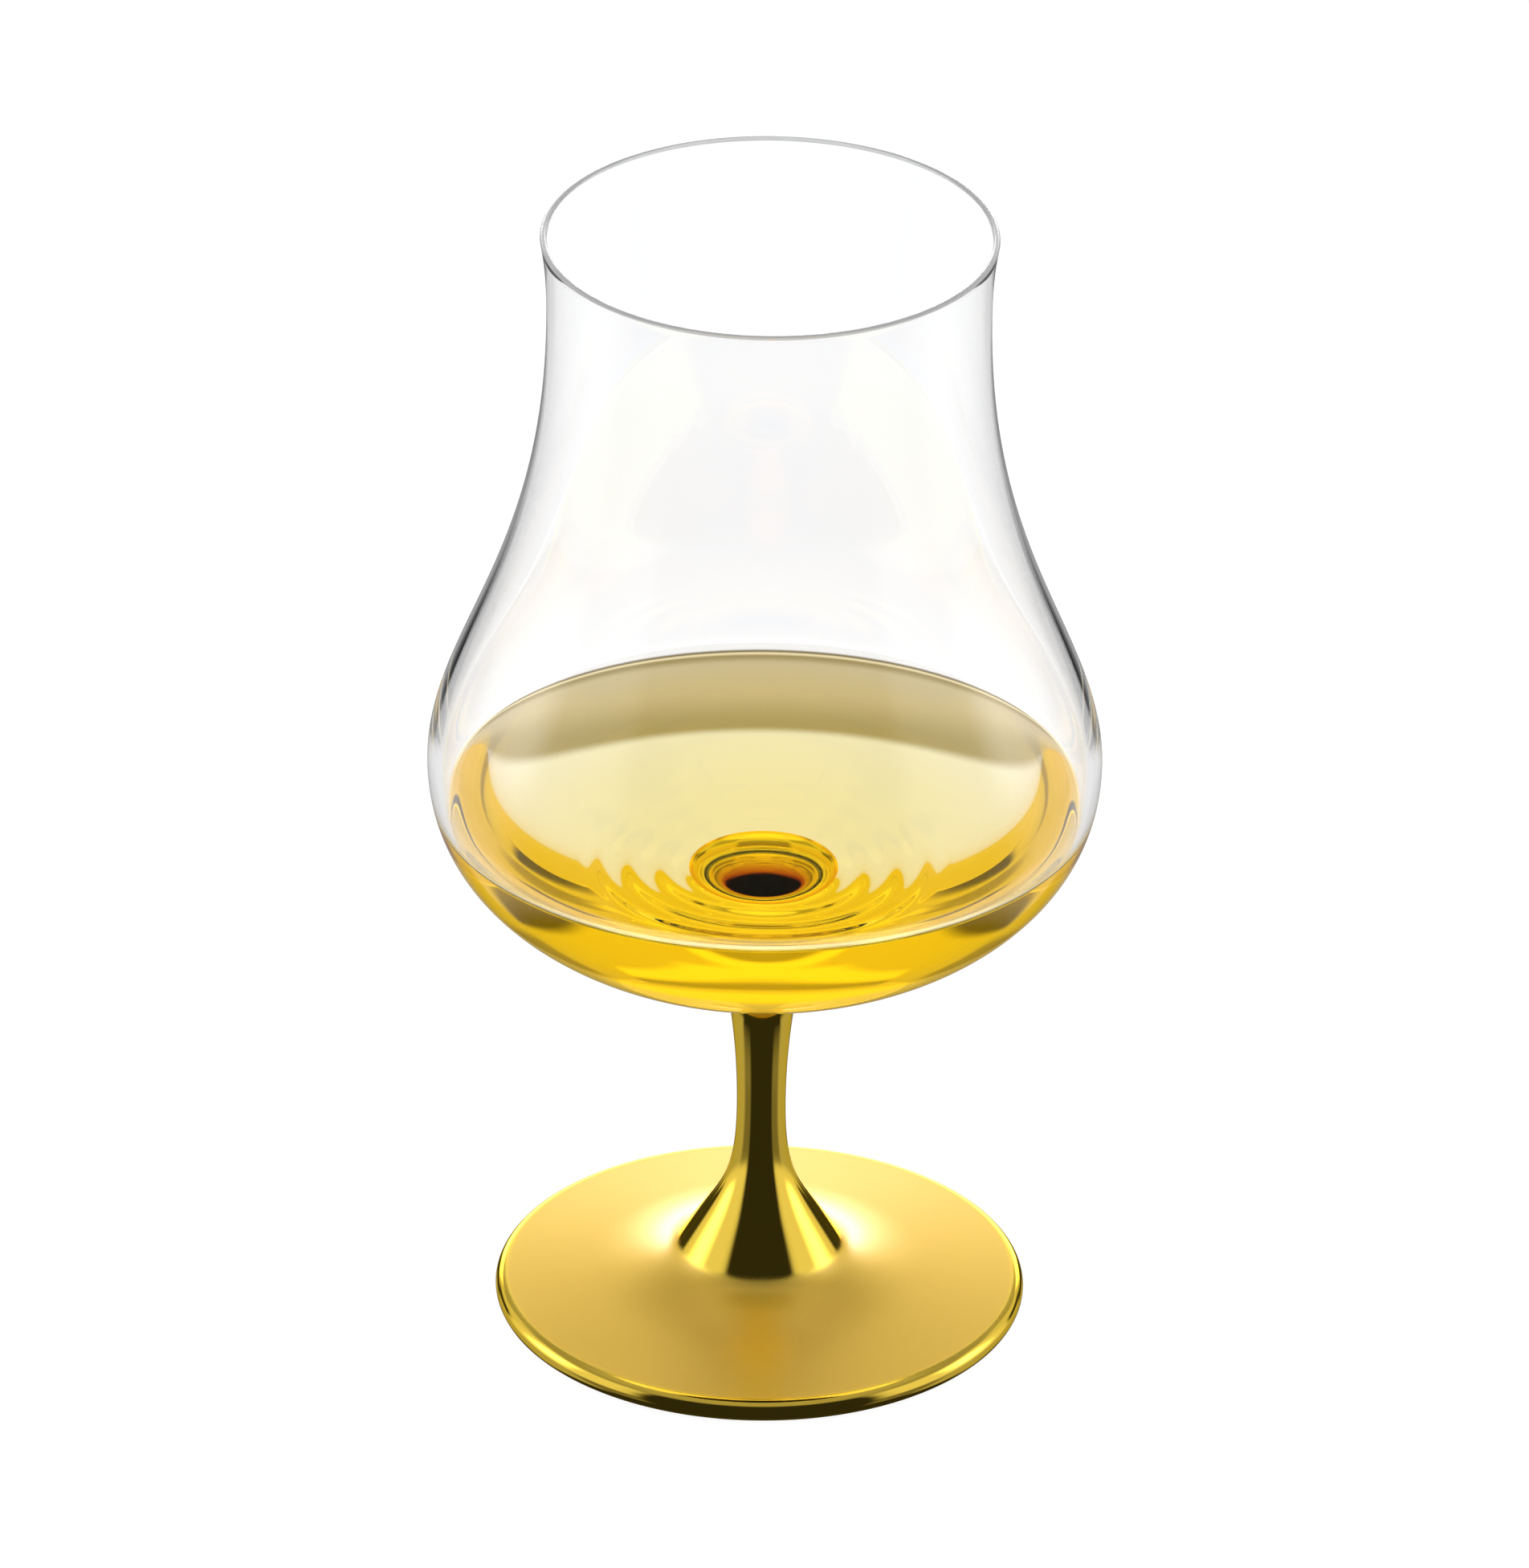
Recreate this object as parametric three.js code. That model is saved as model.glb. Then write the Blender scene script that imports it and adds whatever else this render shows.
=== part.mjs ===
// A stemmed whisky glass: a clear tulip-shaped bowl with a pour of whisky, on a waisted stem and a round foot
// that carry a gold mirror coat. Millimetres, +Z up. The origin is the centre of the foot, on the table.
//
// Every piece is turned about the Z axis. Profiles are lists of points (radius, height), and two pieces that
// touch share one profile, so that their faces meet exactly.

import * as THREE from 'three';

// Bowl
const overallHeight = 145;
const rimDiameter = 54.8;
const rimWall = 0.8;
const rimFlare = 10; // lean of the wall at the lip, in degrees from upright
const neckDiameter = 53.2;
const neckBelowRim = 10.7;
const neckWall = 0.8;
const bellyDiameter = 81.7;
const bellyAboveBase = 29.3;
const bellyWall = 1.5;
const bowlBaseHeight = 45.4; // underside of the bowl, on the axis
const bowlBaseLean = 12; // of the blunt cone there, in degrees
const bowlBaseWall = 6.1; // at the axis

// How far each stretch of the bowl's outline keeps its direction, as the length of its curve handles
const baseRoundness = 17.4;
const innerBaseRoundness = 23.8;
const bellyRoundnessBelow = 20.0;
const innerBellyRoundness = 16.4;
const bellyRoundnessAbove = 13.1;
const neckRoundnessBelow = 33.5;
const neckRoundnessAbove = 4.5;
const rimRoundness = 3.1;

// Whisky
const whiskyDepth = 16.8; // at the axis, from the inside of the base
const meniscusRise = 2.0;
const capillaryLength = 1.7; // sets how far from the wall the rise reaches

// Stem
const waistDiameter = 6.0;
const waistHeight = 27;
const throatDiameter = 7.6;
const throatBelowBowl = 6.2;
const throatLean = 7.5; // degrees from upright
const collarDiameter = 18.4; // where the stem has spread out under the bowl
const coneAngle = 56.5; // slope of the flare above the foot, in degrees
const coneLength = 5.7;

// How far each stretch of the stem's outline keeps its direction, as the length of its curve handles
const flareRoundness = 4.8;
const waistRoundnessBelow = 8.7;
const waistRoundnessAbove = 4.0;
const throatRoundnessBelow = 4.0;
const throatRoundnessAbove = 4.6;
const collarRoundness = 2.7;
const collarLean = 8; // rise of the stem's side where it meets the bowl, in degrees

// Foot
const footDiameter = 65;
const footEdgeThickness = 3.0;
const footSlope = 4.6; // degrees
const coneBaseDiameter = 24; // where the flare and the foot would meet in a sharp corner
const footFillet = 3.5; // from that corner up the flare to the end of the fillet
const footFilletRun = 9; // from that corner out along the foot to its other end
const restingRingWidth = 7;
const hollowDepth = 0.8; // of the hollow inside the resting ring

// Gold coat
const coatThickness = 0.2;

// Fineness of the turned faces
const turnSegments = 44;

const glassMaterial = new THREE.MeshStandardMaterial({
  color: 0xf4f6f5, roughness: 0.02, metalness: 0, transparent: true, opacity: 0.3,
});
const goldMaterial = new THREE.MeshStandardMaterial({ color: 0xd2aa35, roughness: 0.12, metalness: 1 });
const whiskyMaterial = new THREE.MeshStandardMaterial({
  color: 0xf2c21a, roughness: 0.02, metalness: 0, transparent: true, opacity: 0.7,
});

const point = (radius, height) => new THREE.Vector2(radius, height);

// The point at a distance from another, at an angle counted from the outward radius towards +Z, in degrees
function step(from, distance, degrees) {
  const angle = THREE.MathUtils.degToRad(degrees);
  return point(from.x + distance * Math.cos(angle), from.y + distance * Math.sin(angle));
}

const curve = (start, handle, endHandle, end, steps) =>
  new THREE.CubicBezierCurve(start, handle, endHandle, end).getPoints(steps);

const fillet = (start, corner, end, steps) =>
  new THREE.QuadraticBezierCurve(start, corner, end).getPoints(steps);

// Several stretches as one line: the first point of each is the last point of the one before it
const join = (first, ...others) => [...first, ...others.flatMap((stretch) => stretch.slice(1))];

const reversed = (line) => [...line].reverse();

// The start of a line, as far as the point where its radius ('x') or its height ('y') reaches a limit
function upTo(line, coordinate, limit) {
  const next = line.findIndex((p) => p[coordinate] >= limit);
  const from = line[next - 1];
  const to = line[next];
  const share = (limit - from[coordinate]) / (to[coordinate] - from[coordinate]);
  return [...line.slice(0, next), from.clone().lerp(to, share)];
}

// One wall of the bowl, from the axis to just under the lip, for a wall set in by the given thicknesses
function bowlLine(bottom, baseHandle, bellyHandle, { belly, neck, rim }) {
  const widest = point(bellyDiameter / 2 - belly, bowlBaseHeight + bellyAboveBase);
  const narrowest = point(neckDiameter / 2 - neck, overallHeight - neckBelowRim);
  const lip = point(rimDiameter / 2 - rim, overallHeight - rimWall / 2);
  return join(
    curve(bottom, baseHandle, step(widest, bellyHandle, -90), widest, 10),
    curve(widest, step(widest, bellyRoundnessAbove, 90), step(narrowest, neckRoundnessBelow, -90), narrowest, 9),
    curve(narrowest, step(narrowest, neckRoundnessAbove, 90), step(lip, -rimRoundness, 90 - rimFlare), lip, 3),
  );
}

const outerBottom = point(0, bowlBaseHeight);
const innerBottom = point(0, bowlBaseHeight + bowlBaseWall);
const bowlOutside = bowlLine(outerBottom, step(outerBottom, baseRoundness, bowlBaseLean), bellyRoundnessBelow,
  { belly: 0, neck: 0, rim: 0 });
const bowlInside = bowlLine(innerBottom, step(innerBottom, innerBaseRoundness, 0), innerBellyRoundness,
  { belly: bellyWall, neck: neckWall, rim: rimWall });

function lipLine() {
  const centre = point(rimDiameter / 2 - rimWall / 2, overallHeight - rimWall / 2);
  const steps = 4;
  return Array.from({ length: steps + 1 }, (_, i) => step(centre, rimWall / 2, (180 * i) / steps));
}

const bowlProfile = join(bowlOutside, lipLine(), reversed(bowlInside));

// The whisky wets the wall up to the top of its meniscus. At a height h above the level, still liquid with the
// capillary length a stands off the wall by a (acosh(2a/h) - sqrt(4 - (h/a)^2)), less the same at the top.
function whiskyProfile() {
  const level = innerBottom.y + whiskyDepth;
  const wetWall = upTo(bowlInside, 'y', level + meniscusRise);
  const edge = wetWall.at(-1);
  const reach = (height) => capillaryLength * (Math.acosh((2 * capillaryLength) / height)
    - Math.sqrt(4 - (height / capillaryLength) ** 2));
  const shares = [1, 0.75, 0.5, 0.3, 0.15, 0.06];
  const surface = shares.map((share) => {
    const height = share * meniscusRise;
    return point(edge.x - (reach(height) - reach(meniscusRise)), level + height);
  });
  return join(wetWall, surface, [surface.at(-1), point(0, level)]);
}

// The corner where the cone of the flare meets the sloping top of the foot, before the fillet
const edgeRounding = footEdgeThickness / 2;
const footTopEdge = point(footDiameter / 2 - edgeRounding, footEdgeThickness);
const footTopRun = footTopEdge.x - coneBaseDiameter / 2;
const coneCorner = step(footTopEdge, -footTopRun / Math.cos(THREE.MathUtils.degToRad(footSlope)), -footSlope);
const seam = step(coneCorner, footFillet, 180 - coneAngle);
const coneTop = step(seam, coneLength, 180 - coneAngle);

// The underside of the bowl where the stem is fused to it
const collarFace = (inset) => upTo(bowlOutside, 'x', collarDiameter / 2 - inset);

// The side of the stem from the seam on the foot up to the bowl, with every radius smaller by inset
function stemLine(inset) {
  const at = (p) => point(p.x - inset, p.y);
  const waist = point(waistDiameter / 2, waistHeight);
  const throat = point(throatDiameter / 2, bowlBaseHeight - throatBelowBowl);
  const collar = collarFace(inset).at(-1);
  return join(
    [at(seam), at(coneTop)],
    curve(at(coneTop), at(step(coneTop, flareRoundness, 180 - coneAngle)),
      at(step(waist, -waistRoundnessBelow, 90)), at(waist), 5),
    curve(at(waist), at(step(waist, waistRoundnessAbove, 90)),
      at(step(throat, -throatRoundnessBelow, 90 - throatLean)), at(throat), 3),
    curve(at(throat), at(step(throat, throatRoundnessAbove, 90 - throatLean)),
      step(collar, -collarRoundness, collarLean), collar, 5),
  );
}

const stemOutside = stemLine(0);
const stemInside = stemLine(coatThickness);
const stemCoreProfile = join([point(0, seam.y), stemInside[0]], stemInside, reversed(collarFace(coatThickness)));
const stemCoatProfile = join(stemOutside, [stemOutside.at(-1), stemInside.at(-1)], reversed(stemInside),
  [stemInside[0], stemOutside[0]]);

// The foot from the middle of its underside, round its edge and over its top to the seam, set in all round
function footLine(inset) {
  const ringOuter = footTopEdge.x;
  const ringInner = ringOuter - restingRingWidth;
  const hollowSteps = 3;
  const hollow = Array.from({ length: hollowSteps + 1 }, (_, i) => {
    const share = i / hollowSteps;
    return point(ringInner * share, inset + hollowDepth * (1 - share * share));
  });
  const edgeCentre = point(ringOuter, edgeRounding);
  const edgeSteps = 6;
  const edge = Array.from({ length: edgeSteps + 1 }, (_, i) =>
    step(edgeCentre, edgeRounding - inset, -90 + (180 * i) / edgeSteps));
  const filletEnd = step(coneCorner, footFilletRun, -footSlope);
  const top = fillet(point(filletEnd.x, filletEnd.y - inset), point(coneCorner.x - inset / 2, coneCorner.y - inset),
    point(seam.x - inset, seam.y), 6);
  return join(hollow, [hollow.at(-1), edge[0]], edge, [edge.at(-1), top[0]], top);
}

const footOutside = footLine(0);
const footInside = footLine(coatThickness);
const footCoreProfile = join(footInside, [footInside.at(-1), point(0, seam.y)]);
const footCoatProfile = join(footOutside, [footOutside.at(-1), footInside.at(-1)], reversed(footInside));

function turned(name, profile, material) {
  const geometry = new THREE.LatheGeometry(profile, turnSegments);
  geometry.rotateX(Math.PI / 2);
  const mesh = new THREE.Mesh(geometry, material);
  mesh.name = name;
  return mesh;
}

const glass = new THREE.Group();
glass.add(
  turned('bowl', bowlProfile, glassMaterial),
  turned('stem_core', stemCoreProfile, glassMaterial),
  turned('foot_core', footCoreProfile, glassMaterial),
  turned('stem_gold_coat', stemCoatProfile, goldMaterial),
  turned('foot_gold_coat', footCoatProfile, goldMaterial),
  turned('whisky', whiskyProfile(), whiskyMaterial),
);

export default glass;
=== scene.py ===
"""Looks of a stemmed whisky glass: clear tulip bowl, pour of whisky, gold coat on stem and foot.

The glass is turned about +Z and stands at the origin. Sizes are in millimetres until a mesh is made.
"""

import math

import bpy
import numpy as np
from mathutils import Matrix, Vector


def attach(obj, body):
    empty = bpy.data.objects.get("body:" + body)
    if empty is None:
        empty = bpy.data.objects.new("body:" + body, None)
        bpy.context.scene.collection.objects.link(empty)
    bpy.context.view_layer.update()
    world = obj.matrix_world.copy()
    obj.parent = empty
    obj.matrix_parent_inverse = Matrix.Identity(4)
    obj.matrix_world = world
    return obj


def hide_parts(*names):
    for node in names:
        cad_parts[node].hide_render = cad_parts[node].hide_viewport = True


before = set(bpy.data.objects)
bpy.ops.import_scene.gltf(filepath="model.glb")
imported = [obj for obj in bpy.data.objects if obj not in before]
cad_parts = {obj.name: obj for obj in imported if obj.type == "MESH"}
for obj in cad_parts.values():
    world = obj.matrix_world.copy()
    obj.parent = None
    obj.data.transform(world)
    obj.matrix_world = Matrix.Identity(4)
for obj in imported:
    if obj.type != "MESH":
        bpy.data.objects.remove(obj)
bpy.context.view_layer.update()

MM = 0.001

# Bowl
overall_height = 145.0
rim_diameter = 54.8
rim_wall = 0.8
rim_flare = 10.0
neck_diameter = 53.2
neck_below_rim = 10.7
neck_wall = 0.8
belly_diameter = 81.7
belly_above_base = 29.3
belly_wall = 1.5
bowl_base_height = 45.4
bowl_base_lean = 12.0
bowl_base_wall = 6.1
base_roundness = 17.4
inner_base_roundness = 23.8
belly_roundness_below = 20.0
inner_belly_roundness = 16.4
belly_roundness_above = 13.1
neck_roundness_below = 33.5
neck_roundness_above = 4.5
rim_roundness = 3.1

# Whisky
whisky_depth = 16.8
meniscus_rise = 2.0
capillary_length = 1.7
whisky_level = bowl_base_height + bowl_base_wall + whisky_depth

# Stem
waist_diameter = 6.0
waist_height = 27.0
throat_diameter = 7.6
throat_below_bowl = 6.2
throat_lean = 7.5
collar_diameter = 18.4
collar_lean = 8.0
cone_angle = 56.5
cone_length = 5.7
flare_roundness = 4.8
waist_roundness_below = 8.7
waist_roundness_above = 4.0
throat_roundness_below = 4.0
throat_roundness_above = 4.6
collar_roundness = 2.7

# Foot
foot_diameter = 65.0
foot_edge_thickness = 3.0
foot_slope = 4.6
cone_base_diameter = 24.0
foot_fillet = 3.5
foot_fillet_run = 9.0
resting_ring_width = 7.0
hollow_depth = 0.8

coat_thickness = 0.2
seat_overlap = 0.05  # how deep a touching surface sits in its neighbour, so that neither shows twice

# Light bends at glass and whisky by these ratios
glass_to_air = 1.5
whisky_to_air = 1.36
no_bend = 1.001

# Camera, fitted to the rim, belly, stem and foot in the photograph
photo_width = 1904
photo_height = 1953
camera_elevation = 28.11
camera_distance = 1895.0
camera_roll = 0.59
aim_height = 70.95
focal_pixels = 19480.0
sensor_size = 36.0

# Fineness of the turned faces
turns = 256
bowl_turns = 320

# Rings that hand work leaves in the glass under the bowl, as a wave of the radius
ring_spacing = 4.0
ring_ripple = 0.042
ring_start = -0.7  # of the wave, in radians
ring_wander = 0.9  # of the wave with the angle about the axis, in radians
ring_unevenness = 0.45  # of their height, which is greatest at both sides
rings_from = 9.5
rings_to = 21.5
rings_fade = 2.0
rings_top = 60.0
rings_top_fade = 2.0

# Gold: a mirror, but satin on the plate of the foot between two radii, under a thin lacquer there
satin_inner = 10.1
satin_outer = 31.2
satin_fade = 0.45
polished_roughness = 0.04
satin_roughness = 0.54
grain_roughness = 0.05
lacquer_weight = 0.8
lacquer_roughness = 0.29
lacquer_bend = 1.55

# Colour of the whisky, and the width of the line where it climbs the wall, which has a painted glint
whisky_absorb = (0.989, 0.84, 0.044, 1)
whisky_density = 45.0
wet_line_width = 0.6

# White surroundings as seen through the whisky and through the empty bowl, and the painted yellow tint of
# light that was reflected under the whisky
through_whisky = 1.05
through_bowl = (1.09, 1.10, 1.12, 1)
painted_inner_tint = (1.0, 0.96, 0.12, 1)

# A ray through the empty bowl alone crosses 4 faces, and one from deep under the whisky 8 or more
dry_crossings = 4.5
deep_crossings = 7.5

# Studio as mirrors see it. Areas are painted in this order over a plain tone: limits of turn from the front,
# limits of lift from the horizon, softness, all in degrees, and tone.
mirror_tone = 0.75
mirror_areas = [
    ((-10, 200), (36, 200), 6, 0.38),  # ceiling
    ((-10, 200), (55, 200), 6, 0.50),  # its middle
    ((-100, 90), (54, 84), 6, 0.45),  # front half of that
    ((140, 200), (21, 38), 4, 0.43),  # wall over the panel at the back
    ((-10, 152), (-95, -12), 4, 0.50),  # table at the sides
    ((-100, 84), (-38, -12), 8, 0.20),  # table at the front
    ((58, 124), (-10, 40), 5, 0.9),  # side panels
    ((88, 110), (2, 32), 8, 3.0),  # their lamps
    ((150, 200), (-2, 19), 4, 3.2),  # low panel at the back
    ((156, 200), (0, 11), 3, 9.0),  # its lamp
    ((127, 144), (-7, 8), 3, 0.05),  # dark gap between the panels, which runs down towards the back
    ((141, 157), (-14, 1), 3, 0.05),
    ((154, 166), (-21, -7), 3, 0.05),
    ((-100, 80), (-95, -38), 6, 0.03),  # dark table close to the foot
    ((-10, 200), (-95, -47), 4, 0.03),
    ((148, 200), (-95, -24), 4, 0.30),  # table behind the foot
    ((140, 200), (-95, -36), 4, 0.05),
    ((-100, 51), (-95, 44), 5, 0.03),  # dark front
]

# The same for light that has been reflected inside the glass
glass_tone = 1.05
glass_areas = [
    ((-10, 200), (60, 200), 3, 1.6),  # ceiling
    ((140, 200), (53, 57), 1.5, 0.6),  # grey band high at the back
    ((140, 200), (46.5, 52), 1.5, 1.6),  # bright band under it
    ((145, 200), (-6, 27), 4, 1.6),  # low panel at the back
    ((60, 118), (38, 58), 4, 0.55),  # grey over the side panels
    ((-100, 51), (-95, 36), 5, 0.45),  # grey front
    ((119, 143), (6, 31), 2.5, 0.10),  # dark gap between the panels
]

# Tones for light that the empty bowl reflects once: dark, but for the low back, which is brighter higher up
sheen_dark = 0.02
sheen_low = 0.85
sheen_high = 1.6

# Card round the glass that only light through the whisky sees; it glows with painted shadow
card_inner = 42.0
card_outer = 90.0
card_height = 40.0
card_sides = 96

# Its rings of painted shade and light: the radii between which each fades in, and its colour
card_shade_rings = [
    (42.2, 44.2, (0.49, 0.41, 0.23)),
    (44.8, 51.5, (0.71, 0.60, 0.37)),
    (56.5, 61.8, (0.42, 0.33, 0.15)),
    (62.2, 64.0, (0.95, 0.82, 0.50)),
    (64.5, 66.2, (0.26, 0.21, 0.12)),
    (66.6, 69.5, (1.05, 1.05, 1.05)),
]

# Floor: half its side, its tone for the camera, the tone that takes the shadow, and the height above it
# from which the directions to its places are counted
floor_reach = 3000.0
floor_tone = 0.93
floor_shade = 0.15
floor_eye = 60.0

# Tones of the surroundings for matt surfaces and for the camera
matt_tone = 0.9
white = 1.0


def add_camera():
    """A long lens on the -Y side, looking down at the axis, turned a little so that the glass leans."""
    data = bpy.data.cameras.new("photo_camera")
    data.sensor_fit = "AUTO"
    data.sensor_width = sensor_size
    data.lens = focal_pixels * sensor_size / max(photo_width, photo_height)
    data.clip_start = 0.01
    camera = bpy.data.objects.new("photo_camera", data)
    bpy.context.scene.collection.objects.link(camera)
    angle = math.radians(camera_elevation)
    aim = Vector((0, 0, aim_height * MM))
    back = Vector((0, -math.cos(angle), math.sin(angle)))
    camera.location = aim + back * camera_distance * MM
    turn = Matrix.Rotation(math.radians(camera_roll), 4, "Z")
    look = back.to_track_quat("Z", "Y").to_matrix().to_4x4()
    camera.matrix_world = Matrix.Translation(camera.location) @ look @ turn
    bpy.context.scene.camera = camera


def at(radius, height):
    return np.array([radius, height], float)


def step(start, distance, degrees):
    """The point at a distance from start, at an angle counted from the outward radius towards +Z."""
    angle = math.radians(degrees)
    return start + distance * np.array([math.cos(angle), math.sin(angle)])


def curve(start, handle, end_handle, end, steps):
    """Cubic curve: the four points weighted by (1-t)^3, 3(1-t)^2 t, 3(1-t) t^2 and t^3."""
    t = np.linspace(0, 1, steps + 1)[:, None]
    from_start = (1 - t) ** 3 * start + 3 * (1 - t) ** 2 * t * handle
    from_end = 3 * (1 - t) * t**2 * end_handle + t**3 * end
    return from_start + from_end


def fillet(start, corner, end, steps):
    """Quadratic curve from start to end that leaves and arrives along the lines to the corner."""
    t = np.linspace(0, 1, steps + 1)[:, None]
    return (1 - t) ** 2 * start + 2 * (1 - t) * t * corner + t**2 * end


def arc(centre, radius, start_degrees, end_degrees, steps):
    """Points of a circle between two angles."""
    angle = np.radians(np.linspace(start_degrees, end_degrees, steps + 1))
    return centre + radius * np.stack([np.cos(angle), np.sin(angle)], 1)


def straight(start, end, steps):
    """Even points from start to end."""
    return start + np.linspace(0, 1, steps + 1)[:, None] * (end - start)


def join(first, *others):
    """Stretches as one line: the first point of each is the last point of the one before it."""
    return np.concatenate([first] + [stretch[1:] for stretch in others])


def split_at(line, axis, limit):
    """The two parts of a line, which meet where its radius (axis 0) or height (axis 1) reaches the limit."""
    after = int(np.argmax(line[:, axis] >= limit))
    before = line[after - 1]
    share = (limit - before[axis]) / (line[after, axis] - before[axis])
    meeting = before + share * (line[after] - before)
    return np.vstack([line[:after], meeting]), np.vstack([meeting, line[after:]])


def bowl_line(bottom, base_handle, belly_handle, belly, neck, rim, base_steps):
    """One wall of the bowl from the axis to under the lip, set in by the given thicknesses."""
    widest = at(belly_diameter / 2 - belly, bowl_base_height + belly_above_base)
    narrowest = at(neck_diameter / 2 - neck, overall_height - neck_below_rim)
    lip = at(rim_diameter / 2 - rim, overall_height - rim_wall / 2)
    return join(
        curve(bottom, base_handle, step(widest, belly_handle, -90), widest, base_steps),
        curve(widest, step(widest, belly_roundness_above, 90),
              step(narrowest, neck_roundness_below, -90), narrowest, 40),
        curve(narrowest, step(narrowest, neck_roundness_above, 90),
              step(lip, -rim_roundness, 90 - rim_flare), lip, 10),
    )


def outer_line():
    """The outside of the bowl, whose base is a blunt cone."""
    bottom = at(0, bowl_base_height)
    handle = step(bottom, base_roundness, bowl_base_lean)
    return bowl_line(bottom, handle, belly_roundness_below, 0, 0, 0, 80)


def inner_line():
    """The inside of the bowl, whose base is flat on the axis."""
    bottom = at(0, bowl_base_height + bowl_base_wall)
    handle = step(bottom, inner_base_roundness, 0)
    return bowl_line(bottom, handle, inner_belly_roundness, belly_wall, neck_wall, rim_wall, 56)


def foot_points():
    """The corners of the foot: top edge, corner under the flare, seam with the stem, top of the cone."""
    rounding = foot_edge_thickness / 2
    top_edge = at(foot_diameter / 2 - rounding, foot_edge_thickness)
    run = top_edge[0] - cone_base_diameter / 2
    corner = step(top_edge, -run / math.cos(math.radians(foot_slope)), -foot_slope)
    seam = step(corner, foot_fillet, 180 - cone_angle)
    cone_top = step(seam, cone_length, 180 - cone_angle)
    return top_edge, corner, seam, cone_top


def stem_line(inset, outside):
    """The side of the stem from the foot up to the bowl, with every radius smaller by inset."""
    _, _, seam, cone_top = foot_points()
    shift = at(-inset, 0)
    waist = at(waist_diameter / 2, waist_height)
    throat = at(throat_diameter / 2, bowl_base_height - throat_below_bowl)
    collar = split_at(outside, 0, collar_diameter / 2 - inset)[0][-1]
    return join(
        straight(seam + shift, cone_top + shift, 8),
        curve(cone_top + shift, step(cone_top, flare_roundness, 180 - cone_angle) + shift,
              step(waist, -waist_roundness_below, 90) + shift, waist + shift, 32),
        curve(waist + shift, step(waist, waist_roundness_above, 90) + shift,
              step(throat, -throat_roundness_below, 90 - throat_lean) + shift, throat + shift, 16),
        curve(throat + shift, step(throat, throat_roundness_above, 90 - throat_lean) + shift,
              step(collar, -collar_roundness, collar_lean), collar, 32),
    )


def foot_line(inset):
    """The foot from the middle of its underside, round its edge and over its top to the seam."""
    top_edge, corner, seam, _ = foot_points()
    rounding = foot_edge_thickness / 2
    ring_inner = top_edge[0] - resting_ring_width
    share = np.linspace(0, 1, 17)
    hollow = np.stack([ring_inner * share, inset + hollow_depth * (1 - share**2)], 1)
    edge = arc(at(top_edge[0], rounding), rounding - inset, -90, 90, 32)
    end = step(corner, foot_fillet_run, -foot_slope)
    top = fillet(end - at(0, inset), corner - at(inset / 2, inset), seam - at(inset, 0), 40)
    return join(hollow, straight(hollow[-1], edge[0], 4), edge, straight(edge[-1], top[0], 24), top)


def meniscus_line(edge, level):
    """The surface of the whisky from the wall to the axis, as still liquid climbs a wall.

    At a height h above the level, and with a the capillary length, it stands off the wall by
    a (acosh(2a/h) - sqrt(4 - (h/a)^2)), less the same at the height of the edge.
    """
    rise = edge[1] - level
    steep = np.linspace(rise, 0.15 * rise, 36)
    flat = np.geomspace(0.14 * rise, 0.002 * rise, 14)
    height = np.concatenate([steep, flat])

    def reach(h):
        ratio = h / capillary_length
        return capillary_length * (np.arccosh(2 / ratio) - np.sqrt(4 - ratio**2))

    climb = np.stack([edge[0] - (reach(height) - reach(rise)), level + height], 1)
    return np.vstack([climb, straight(climb[-1], at(0, level), 14)[1:]])


def turned(name, line, segments, face_values=None):
    """A surface turned about +Z: each point of the line becomes a ring x = r cos a, y = r sin a, z = height.

    A point on the axis becomes a pole. A line that ends where it starts closes on itself. The line runs up
    the outside of the piece, so that the faces point outwards.
    """
    closed = np.allclose(line[0], line[-1])
    rows = line[:-1] if closed else line
    on_axis = rows[:, 0] < 1e-9
    angle = np.linspace(0, 2 * math.pi, segments, endpoint=False)
    ring = np.arange(segments)
    count = np.where(on_axis, 1, segments)
    start = np.concatenate([[0], np.cumsum(count)[:-1]])
    index = start[:, None] + np.where(on_axis[:, None], 0, ring[None, :])
    height = np.repeat(rows[:, 1:], segments, axis=1)
    points = np.stack([rows[:, :1] * np.cos(angle), rows[:, :1] * np.sin(angle), height], axis=-1)
    keep = ~on_axis[:, None] | (ring[None, :] == 0)
    lower = index if closed else index[:-1]
    upper = np.roll(index, -1, axis=0) if closed else index[1:]
    quads = np.stack([lower, np.roll(lower, -1, 1), np.roll(upper, -1, 1), upper], axis=-1)
    faces = []
    for row, quad in enumerate(quads):
        if lower[row, 0] == lower[row, 1]:
            quad = quad[:, [0, 2, 3]]
        elif upper[row, 0] == upper[row, 1]:
            quad = quad[:, [0, 1, 2]]
        faces.extend(quad.tolist())
    mesh = bpy.data.meshes.new(name)
    mesh.from_pydata((points[keep] * MM).tolist(), [], faces)
    mesh.polygons.foreach_set("use_smooth", np.ones(len(faces), bool))
    if face_values is not None:
        values = np.repeat(np.asarray(face_values, float), segments)
        mesh.attributes.new("bend", "FLOAT", "FACE").data.foreach_set("value", values)
    mesh.set_sharp_from_angle(angle=math.radians(35))
    mesh.update()
    piece = bpy.data.objects.new(name, mesh)
    bpy.context.scene.collection.objects.link(piece)
    return piece


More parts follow.
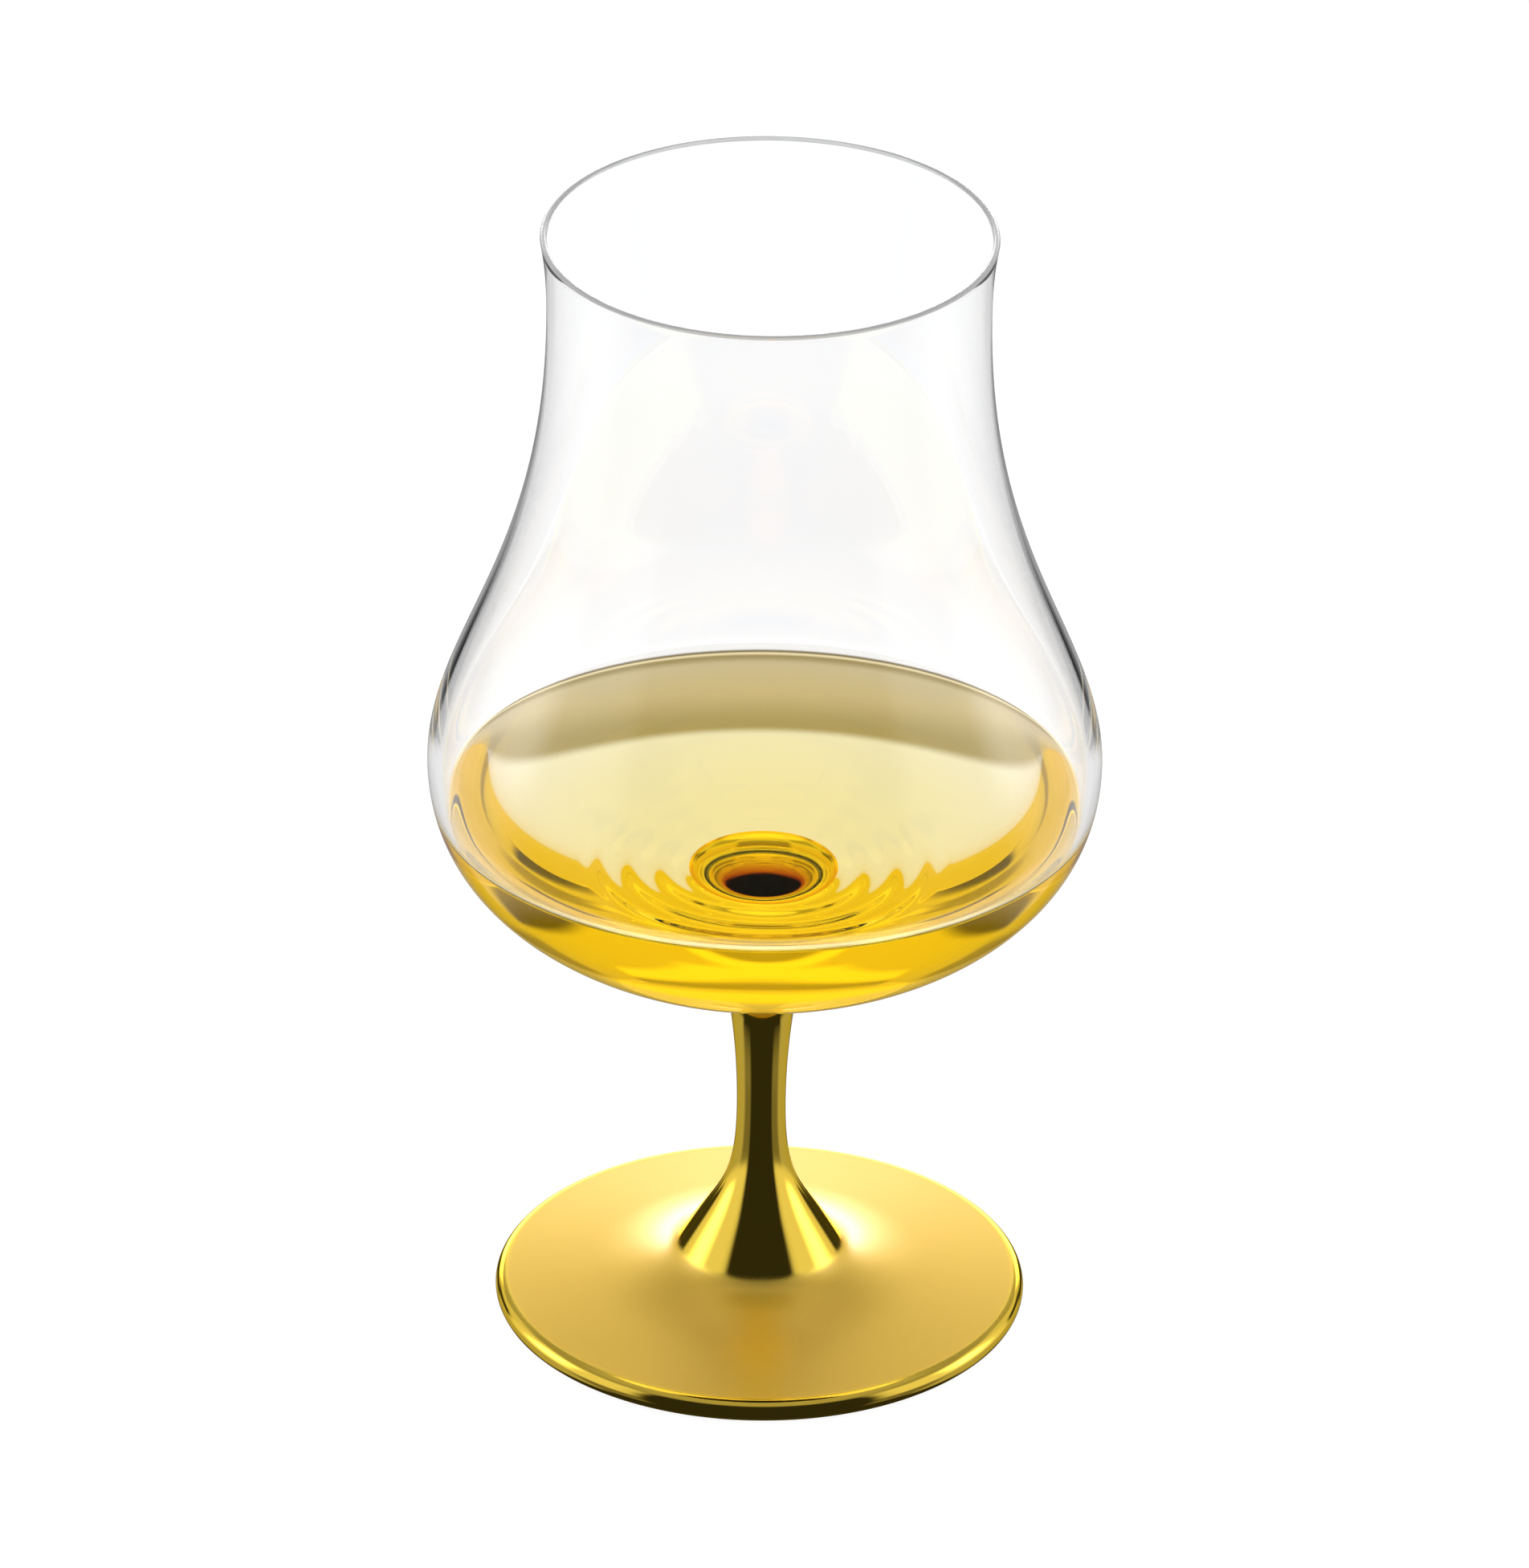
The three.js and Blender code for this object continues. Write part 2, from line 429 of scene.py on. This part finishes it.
class Wiring:
    """Adds nodes to one node tree and links them; a plain number or colour is set on the socket itself."""

    def __init__(self, tree):
        self.nodes = tree.nodes
        self.links = tree.links

    def put(self, value, socket):
        if isinstance(value, bpy.types.NodeSocket):
            self.links.new(value, socket)
        else:
            socket.default_value = value

    def add(self, kind, **values):
        node = self.nodes.new(kind)
        for name, value in values.items():
            setattr(node, name, value)
        return node

    def math(self, operation, first, second=0.0):
        node = self.add("ShaderNodeMath", operation=operation)
        self.put(first, node.inputs[0])
        self.put(second, node.inputs[1])
        return node.outputs[0]

    def ramp(self, value, low, high):
        """0 at low, 1 at high, smooth between; low may be the greater one."""
        node = self.add("ShaderNodeMapRange", interpolation_type="SMOOTHSTEP")
        self.put(value, node.inputs["Value"])
        self.put(low, node.inputs["From Min"])
        self.put(high, node.inputs["From Max"])
        return node.outputs[0]

    def window(self, value, low, high, soft):
        """1 between low and high, 0 outside, smooth over the soft margin on either side of both limits."""
        rise = self.ramp(value, low - soft, low + soft)
        return self.math("MULTIPLY", rise, self.ramp(value, high + soft, high - soft))

    def blend(self, share, first, second):
        node = self.add("ShaderNodeMix", data_type="RGBA")
        self.put(share, node.inputs[0])
        self.put(first, node.inputs[6])
        self.put(second, node.inputs[7])
        return node.outputs[2]

    def radius(self, place):
        """Distance of a place from the Z axis."""
        flat = self.add("ShaderNodeVectorMath", operation="MULTIPLY")
        self.put(place, flat.inputs[0])
        flat.inputs[1].default_value = (1, 1, 0)
        length = self.add("ShaderNodeVectorMath", operation="LENGTH")
        self.put(flat.outputs[0], length.inputs[0])
        return length.outputs["Value"]

    def noise(self, place, scale, detail):
        node = self.add("ShaderNodeTexNoise")
        self.put(place, node.inputs["Vector"])
        self.put(scale, node.inputs["Scale"])
        self.put(detail, node.inputs["Detail"])
        return node.outputs["Fac"]


def grey(tone):
    return (tone, tone, tone, 1)


def new_material(name):
    material = bpy.data.materials.new(name)
    material.use_nodes = True
    return material, Wiring(material.node_tree), material.node_tree.nodes["Principled BSDF"]


def hand_work_group():
    """Height of the rings that the making leaves under the bowl, in metres, from a place on the glass.

    The rings are a sine of the radius. Its phase and its height change with the angle about the axis, and
    it fades out towards the stem's joint and the belly.
    """
    group = bpy.data.node_groups.new("hand_work", "ShaderNodeTree")
    group.interface.new_socket("Place", in_out="INPUT", socket_type="NodeSocketVector")
    group.interface.new_socket("Height", in_out="OUTPUT", socket_type="NodeSocketFloat")
    wiring = Wiring(group)
    entry = wiring.add("NodeGroupInput")
    leave = wiring.add("NodeGroupOutput")
    split = wiring.add("ShaderNodeSeparateXYZ")
    wiring.put(entry.outputs["Place"], split.inputs[0])
    x, y, z = split.outputs
    angle = wiring.math("ARCTAN2", y, x)
    radius = wiring.radius(entry.outputs["Place"])

    def wave(value, count, start):
        return wiring.math("SINE", wiring.math("ADD", wiring.math("MULTIPLY", value, count), start))

    wander = wiring.math("ADD", wiring.math("MULTIPLY", wave(angle, 3, 0.4), ring_wander), ring_start)
    rings = wave(radius, 2 * math.pi / (ring_spacing * MM), wander)
    strength = wiring.math("ADD", wiring.math("MULTIPLY", wave(angle, 2, 1.6), ring_unevenness), 1.0)
    share = wiring.window(radius, rings_from * MM, rings_to * MM, rings_fade * MM)
    low = wiring.ramp(z, (rings_top + rings_top_fade) * MM, (rings_top - rings_top_fade) * MM)
    share = wiring.math("MULTIPLY", share, low)
    height = wiring.math("MULTIPLY", wiring.math("MULTIPLY", rings, strength), ring_ripple * MM)
    wiring.put(wiring.math("MULTIPLY", height, share), leave.inputs["Height"])
    return group


def make_clear(shader):
    """Sets a shader to let all light through unblurred and undyed."""
    shader.inputs["Base Color"].default_value = grey(1)
    shader.inputs["Roughness"].default_value = 0.0
    shader.inputs["Transmission Weight"].default_value = 1.0


def clear_glass(name, bend, worked=None):
    """Clear glass whose light bends by the given ratio between its two sides, with hand work where given."""
    material, wiring, shader = new_material(name)
    make_clear(shader)
    shader.inputs["IOR"].default_value = bend
    if worked:
        marks = wiring.add("ShaderNodeGroup", node_tree=worked)
        wiring.put(wiring.add("ShaderNodeTexCoord").outputs["Object"], marks.inputs["Place"])
        bump = wiring.add("ShaderNodeBump")
        bump.inputs["Distance"].default_value = 1.0
        wiring.put(marks.outputs["Height"], bump.inputs["Height"])
        wiring.put(bump.outputs["Normal"], shader.inputs["Normal"])
    return material


def wet_line_painted_glint():
    """The line where the whisky climbs the wall, with a painted glint: the glass there glows pale gold."""
    material, wiring, shader = new_material("clear_glass_wet_line_painted_glint")
    make_clear(shader)
    shader.inputs["IOR"].default_value = glass_to_air / whisky_to_air
    place = wiring.add("ShaderNodeTexCoord").outputs["Object"]
    # Painted glint: a pale gold glow, mottled by noise, on the clear glass at the wet line
    painted_glint = wiring.blend(wiring.noise(place, 120.0, 2.0), (0.30, 0.26, 0.16, 1), (0.62, 0.57, 0.42, 1))
    wiring.put(painted_glint, shader.inputs["Emission Color"])
    shader.inputs["Emission Strength"].default_value = 1.0
    return material


def rim_glass():
    """The ground lip, which is slightly frosted and so shows a grey line."""
    material, wiring, shader = new_material("clear_glass_lip")
    place = wiring.add("ShaderNodeTexCoord").outputs["Object"]
    frost = wiring.blend(wiring.noise(place, 400.0, 2.0), grey(0.58), grey(0.72))
    wiring.put(frost, shader.inputs["Base Color"])
    shader.inputs["Roughness"].default_value = 0.3
    shader.inputs["IOR"].default_value = glass_to_air
    shader.inputs["Transmission Weight"].default_value = 0.35
    return material


def gold_coat():
    """Gold, polished on the stem, the flare and the edge of the foot, and satin on the plate between."""
    material, wiring, shader = new_material("gold_mirror_coat")
    place = wiring.add("ShaderNodeTexCoord").outputs["Object"]
    satin = wiring.window(wiring.radius(place), satin_inner * MM, satin_outer * MM, satin_fade * MM)
    grain = wiring.math("MULTIPLY", wiring.noise(place, 900.0, 4.0), grain_roughness)
    polished = wiring.math("ADD", grain, polished_roughness)
    rough = wiring.math("ADD", wiring.math("MULTIPLY", satin, satin_roughness), polished)
    wiring.put(rough, shader.inputs["Roughness"])
    tint = wiring.blend(wiring.noise(place, 60.0, 3.0), (0.90, 0.62, 0.07, 1), (0.94, 0.66, 0.09, 1))
    wiring.put(tint, shader.inputs["Base Color"])
    shader.inputs["Metallic"].default_value = 1.0
    shader.inputs["Specular Tint"].default_value = (1.0, 0.85, 0.40, 1)
    wiring.put(wiring.math("MULTIPLY", satin, lacquer_weight), shader.inputs["Coat Weight"])
    shader.inputs["Coat IOR"].default_value = lacquer_bend
    shader.inputs["Coat Roughness"].default_value = lacquer_roughness
    return material


def gold_inside_painted_lighter():
    """The inner face of the gold, seen through the glass under the whisky: a copy of the gold painted paler
    and lighter than the outer face.
    """
    material, wiring, shader = new_material("gold_coat_inside_painted_lighter")
    place = wiring.add("ShaderNodeTexCoord").outputs["Object"]
    # Painted light: a paler, lighter gold than the outer coat, mottled by noise
    tint = wiring.blend(wiring.noise(place, 300.0, 3.0), (0.92, 0.79, 0.34, 1), (0.97, 0.85, 0.42, 1))
    wiring.put(tint, shader.inputs["Base Color"])
    shader.inputs["Metallic"].default_value = 1.0
    shader.inputs["Roughness"].default_value = 0.1
    return material


def whisky_liquid():
    """Golden liquid: the light bends at its surface only, and is dyed along its way through the liquid."""
    material, wiring, shader = new_material("whisky")
    make_clear(shader)
    bend = wiring.add("ShaderNodeAttribute", attribute_name="bend")
    wiring.put(bend.outputs["Fac"], shader.inputs["IOR"])
    absorb = wiring.add("ShaderNodeVolumeAbsorption")
    absorb.inputs["Color"].default_value = whisky_absorb
    absorb.inputs["Density"].default_value = whisky_density
    wiring.put(absorb.outputs["Volume"], wiring.nodes["Material Output"].inputs["Volume"])
    return material


def finish_piece(piece, materials, node, row_slots=None, segments=None):
    """Gives a piece its materials, by row where asked, hangs it under the root body and hides its node of
    the part.
    """
    for material in materials:
        piece.data.materials.append(material)
    if row_slots is not None:
        slots = np.repeat(np.asarray(row_slots, np.int32), segments)
        piece.data.polygons.foreach_set("material_index", slots)
    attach(piece, "root")
    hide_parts(node)


def add_bowl(outside, inside):
    """The bowl: faces against air, against whisky, fused to the stem, on the lip and at the wet line."""
    wet_inside, dry_inside = split_at(inside, 1, whisky_level + meniscus_rise)
    wet_inside, wet_line = split_at(wet_inside, 1, whisky_level + meniscus_rise - wet_line_width)
    fused_outside, free_outside = split_at(outside, 0, collar_diameter / 2 - coat_thickness)
    lip_centre = at(rim_diameter / 2 - rim_wall / 2, overall_height - rim_wall / 2)
    lip = arc(lip_centre, rim_wall / 2, 0, 180, 12)
    profile = join(fused_outside, free_outside, lip, dry_inside[::-1], wet_line[::-1], wet_inside[::-1])
    # Each stretch of the profile, after the place of its glass in the list of materials
    stretches = [(2, fused_outside), (0, free_outside), (3, lip),
                 (0, dry_inside), (4, wet_line), (1, wet_inside)]
    kinds = np.concatenate([np.full(len(stretch) - 1, kind) for kind, stretch in stretches])
    bowl = turned("crystal_bowl", profile, bowl_turns)
    against_air = clear_glass("clear_glass", glass_to_air, hand_work_group())
    against_whisky = clear_glass("clear_glass_under_whisky", glass_to_air / whisky_to_air)
    materials = [against_air, against_whisky, fused_glass, rim_glass(), wet_line_painted_glint()]
    finish_piece(bowl, materials, "bowl", kinds, bowl_turns)


def add_whisky(inside):
    """The pour: its side sits a hair inside the glass, so that only the glass bends the light there."""
    side = split_at(inside, 1, whisky_level + meniscus_rise)[0]
    side[1:, 0] += seat_overlap
    side[0, 1] -= seat_overlap
    profile = join(side, meniscus_line(side[-1], whisky_level))
    bends = np.full(len(profile) - 1, no_bend)
    bends[len(side) - 1:] = whisky_to_air
    whisky = turned("whisky_pour", profile, turns, bends)
    finish_piece(whisky, [whisky_liquid()], "whisky")


def add_stem(outside):
    """The glass core of the stem, and its gold coat as a closed shell round it."""
    coat_outside = stem_line(0, outside)
    coat_inside = stem_line(coat_thickness, outside)
    profile = np.vstack([coat_outside, coat_inside[::-1], coat_outside[:1]])
    faces = np.arange(len(profile) - 1) >= len(coat_outside)
    coat = turned("gold_stem_coat", profile, turns)
    finish_piece(coat, [gold, gold_inside_painted_lighter()], "stem_gold_coat", faces, turns)
    core_inset = coat_thickness - seat_overlap
    side = stem_line(core_inset, outside)
    under_bowl = split_at(outside, 0, collar_diameter / 2 - core_inset)[0][::-1]
    core = turned("stem_glass_core", np.vstack([at(0, side[0][1]), side, under_bowl[1:]]), turns)
    finish_piece(core, [fused_glass], "stem_core")


def add_foot():
    """The glass core of the foot, and its gold coat as a shell round it."""
    coat = turned("gold_foot_coat", np.vstack([foot_line(0), foot_line(coat_thickness)[::-1]]), turns)
    finish_piece(coat, [gold], "foot_gold_coat")
    side = foot_line(coat_thickness - seat_overlap)
    core = turned("foot_glass_core", np.vstack([side, at(0, side[-1][1])]), turns)
    finish_piece(core, [fused_glass], "foot_core")


def studio_group():
    """Light of the studio by direction, in degrees of turn from the front and of lift from the horizon.

    The front is dark, panels stand at both sides and low at the back, with dark gaps between them, and the
    ceiling is grey. Mirror is 1 for light that has not come through glass, and Sheen for light that the
    empty bowl has reflected once; the rest has been reflected inside the glass.
    """
    group = bpy.data.node_groups.new("studio_light", "ShaderNodeTree")
    group.interface.new_socket("Direction", in_out="INPUT", socket_type="NodeSocketVector")
    group.interface.new_socket("Mirror", in_out="INPUT", socket_type="NodeSocketFloat")
    group.interface.new_socket("Sheen", in_out="INPUT", socket_type="NodeSocketFloat")
    group.interface.new_socket("Color", in_out="OUTPUT", socket_type="NodeSocketColor")
    wiring = Wiring(group)
    entry = wiring.add("NodeGroupInput")
    leave = wiring.add("NodeGroupOutput")
    split = wiring.add("ShaderNodeSeparateXYZ")
    wiring.put(entry.outputs["Direction"], split.inputs[0])
    x, y, z = split.outputs
    ahead = wiring.math("MULTIPLY", y, -1.0)
    turn = wiring.math("DEGREES", wiring.math("ARCTAN2", wiring.math("ABSOLUTE", x), ahead))
    lift = wiring.math("DEGREES", wiring.math("ARCSINE", z))

    def painted(areas, colour):
        for turn_limits, lift_limits, soft, tone in areas:
            inside_lift = wiring.window(lift, *lift_limits, soft)
            share = wiring.math("MULTIPLY", inside_lift, wiring.window(turn, *turn_limits, soft))
            colour = wiring.blend(share, colour, grey(tone))
        return colour

    in_glass = painted(glass_areas, grey(glass_tone))
    low_back = wiring.math("MULTIPLY", wiring.ramp(lift, 25, 20), wiring.ramp(turn, 80, 100))
    panel = wiring.blend(wiring.ramp(lift, -8, 2), grey(sheen_low), grey(sheen_high))
    in_sheen = wiring.blend(low_back, grey(sheen_dark), panel)
    colour = wiring.blend(entry.outputs["Sheen"], in_glass, in_sheen)
    colour = wiring.blend(entry.outputs["Mirror"], colour, painted(mirror_areas, grey(mirror_tone)))
    wiring.put(colour, leave.inputs["Color"])
    return group


def ray_shares(wiring):
    """Shares of a ray that has come through glass, by its way: straight through the empty bowl, straight
    through the whisky, reflected once by the empty bowl, and reflected deep under the whisky."""
    path = wiring.add("ShaderNodeLightPath")
    through = path.outputs["Is Transmission Ray"]
    straight_on = wiring.math("LESS_THAN", path.outputs["Glossy Depth"], 0.5)
    shallow = wiring.math("LESS_THAN", path.outputs["Transmission Depth"], dry_crossings)
    unreflected = wiring.math("MULTIPLY", through, straight_on)
    reflected = wiring.math("SUBTRACT", through, unreflected)
    dry = wiring.math("MULTIPLY", unreflected, shallow)
    once = wiring.math("LESS_THAN", path.outputs["Glossy Depth"], 1.5)
    sheen = wiring.math("MULTIPLY", wiring.math("MULTIPLY", reflected, shallow), once)
    wet = wiring.math("SUBTRACT", unreflected, dry)
    deep = wiring.math("GREATER_THAN", path.outputs["Transmission Depth"], deep_crossings)
    inner = wiring.math("MULTIPLY", reflected, deep)
    return path, dry, wet, sheen, inner


def studio_colour(wiring, group, direction, mirror, sheen, inner):
    """The studio's light, with a painted yellow tint where a ray was reflected under the whisky."""
    light = wiring.add("ShaderNodeGroup", node_tree=group)
    wiring.put(direction, light.inputs["Direction"])
    wiring.put(mirror, light.inputs["Mirror"])
    wiring.put(sheen, light.inputs["Sheen"])
    # Painted reflection colour: light reflected deep under the whisky is tinted yellow
    painted_tint = wiring.add("ShaderNodeMix", data_type="RGBA", blend_type="MULTIPLY")
    wiring.put(inner, painted_tint.inputs[0])
    wiring.put(light.outputs["Color"], painted_tint.inputs[6])
    wiring.put(painted_inner_tint, painted_tint.inputs[7])
    return painted_tint.outputs[2]


def add_floor(group):
    """A white sweep for the camera, which keeps a faint shadow."""
    mesh = bpy.data.meshes.new("studio_floor")
    corners = np.array([(-1, -1, 0), (1, -1, 0), (1, 1, 0), (-1, 1, 0)]) * floor_reach * MM
    mesh.from_pydata(corners.tolist(), [], [(0, 1, 2, 3)])
    floor = bpy.data.objects.new("studio_floor", mesh)
    bpy.context.scene.collection.objects.link(floor)
    floor.visible_glossy = False
    material, wiring, shader = new_material("studio_floor")
    shader.inputs["Roughness"].default_value = 1.0
    shader.inputs["Specular IOR Level"].default_value = 0.0
    shader.inputs["Emission Strength"].default_value = 1.0
    place = wiring.add("ShaderNodeNewGeometry").outputs["Position"]
    rise = wiring.add("ShaderNodeVectorMath", operation="SUBTRACT")
    wiring.put(place, rise.inputs[0])
    rise.inputs[1].default_value = (0, 0, floor_eye * MM)
    way = wiring.add("ShaderNodeVectorMath", operation="NORMALIZE")
    wiring.put(rise.outputs[0], way.inputs[0])
    path, dry, wet, sheen, inner = ray_shares(wiring)
    colour = studio_colour(wiring, group, way.outputs[0], 0.0, sheen, inner)
    colour = wiring.blend(wet, colour, grey(through_whisky))
    colour = wiring.blend(dry, colour, through_bowl)
    colour = wiring.blend(path.outputs["Is Camera Ray"], colour, grey(floor_tone))
    wiring.put(colour, shader.inputs["Emission Color"])
    shade = wiring.blend(path.outputs["Is Transmission Ray"], grey(floor_shade), grey(0))
    wiring.put(shade, shader.inputs["Base Color"])
    mesh.materials.append(material)


def add_painted_shade_card():
    """A flat card round the glass, under the bowl, which only light through the whisky sees, glowing with
    painted shadow.

    Its tones are rings about the axis of painted shade and light: tan, lighter tan, a light line between two
    dark lines, and white.
    """
    angle = np.linspace(0, 2 * math.pi, card_sides, endpoint=False)
    rim = np.stack([np.cos(angle), np.sin(angle), np.zeros(card_sides)], 1)
    lift = np.array([0, 0, card_height])
    points = np.vstack([rim * card_inner + lift, rim * card_outer + lift]) * MM
    first = np.arange(card_sides)
    following = np.roll(first, -1)
    faces = np.stack([first, first + card_sides, following + card_sides, following], 1)
    mesh = bpy.data.meshes.new("painted_shade_card")
    mesh.from_pydata(points.tolist(), [], faces.tolist())
    card = bpy.data.objects.new("painted_shade_card", mesh)
    bpy.context.scene.collection.objects.link(card)
    card.visible_camera = False
    card.visible_diffuse = False
    card.visible_glossy = False
    card.visible_shadow = False
    material, wiring, shader = new_material("painted_shade_card")
    radius = wiring.radius(wiring.add("ShaderNodeTexCoord").outputs["Object"])
    colour = grey(through_whisky)
    # Painted shadow: tan and dark rings, and a light line, that glow only for light through the whisky
    for start, end, tone in card_shade_rings:
        colour = wiring.blend(wiring.ramp(radius, start * MM, end * MM), colour, (*tone, 1))
    wiring.put(colour, shader.inputs["Emission Color"])
    shader.inputs["Emission Strength"].default_value = 1.0
    shader.inputs["Base Color"].default_value = grey(0)
    shader.inputs["Specular IOR Level"].default_value = 0.0
    _, _, wet, _, _ = ray_shares(wiring)
    wiring.put(wet, shader.inputs["Alpha"])
    mesh.materials.append(material)


def add_world(group):
    """The studio, which the camera and light straight through the empty bowl see as plain white."""
    world = bpy.data.worlds.new("studio")
    bpy.context.scene.world = world
    world.use_nodes = True
    wiring = Wiring(world.node_tree)
    path, dry, wet, sheen, inner = ray_shares(wiring)
    direction = wiring.add("ShaderNodeTexCoord").outputs["Generated"]
    mirror = wiring.math("SUBTRACT", 1.0, path.outputs["Is Transmission Ray"])
    colour = studio_colour(wiring, group, direction, mirror, sheen, inner)
    colour = wiring.blend(wet, colour, grey(through_whisky))
    colour = wiring.blend(dry, colour, through_bowl)
    colour = wiring.blend(path.outputs["Is Diffuse Ray"], colour, grey(matt_tone))
    colour = wiring.blend(path.outputs["Is Camera Ray"], colour, grey(white))
    wiring.put(colour, wiring.nodes["Background"].inputs["Color"])


add_camera()
fused_glass = clear_glass("clear_glass_fused", no_bend)
gold = gold_coat()
bowl_outside = outer_line()
bowl_inside = inner_line()
add_bowl(bowl_outside, bowl_inside)
add_whisky(bowl_inside)
add_stem(bowl_outside)
add_foot()
studio_light = studio_group()
add_floor(studio_light)
add_painted_shade_card()
add_world(studio_light)

scene = bpy.context.scene
scene.view_settings.view_transform = "Standard"
scene.cycles.max_bounces = 32
scene.cycles.glossy_bounces = 16
scene.cycles.transmission_bounces = 24
